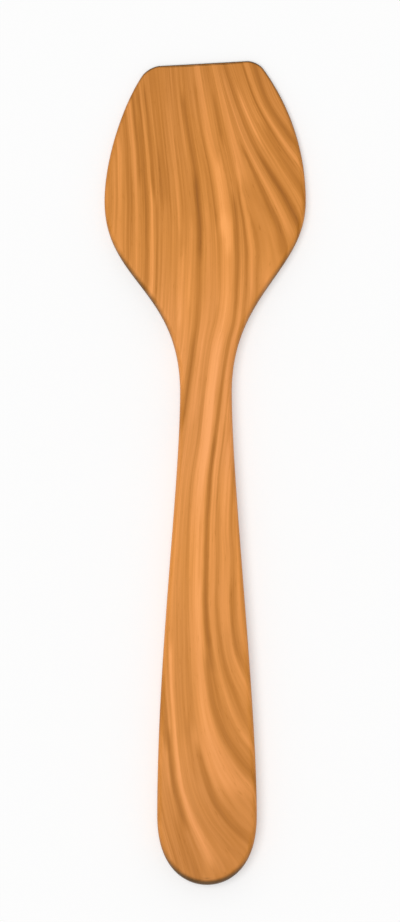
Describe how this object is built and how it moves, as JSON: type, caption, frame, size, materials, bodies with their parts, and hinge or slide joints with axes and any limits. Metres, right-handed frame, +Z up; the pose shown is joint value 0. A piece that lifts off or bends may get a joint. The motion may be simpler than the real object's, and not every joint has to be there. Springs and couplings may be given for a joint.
{
  "type": "wok spatula",
  "caption": "Flat wooden wok spatula with a broad blade, a slanted thin working edge, a narrow neck and a swelling round-ended handle.",
  "frame": {"origin": "on the flat underside, at the centre of the bounding box seen from above", "axes": "+Y along the length, from the handle's round end towards the working edge; +X to the right seen from above; +Z up out of the tapered top face"},
  "size_m": [0.078, 0.32, 0.0093],
  "materials": {
    "olive_wood": "sanded smooth and oiled, satin"
  },
  "bodies": {
    "root": {"spatula": "olive_wood"}
  },
  "joints": []
}
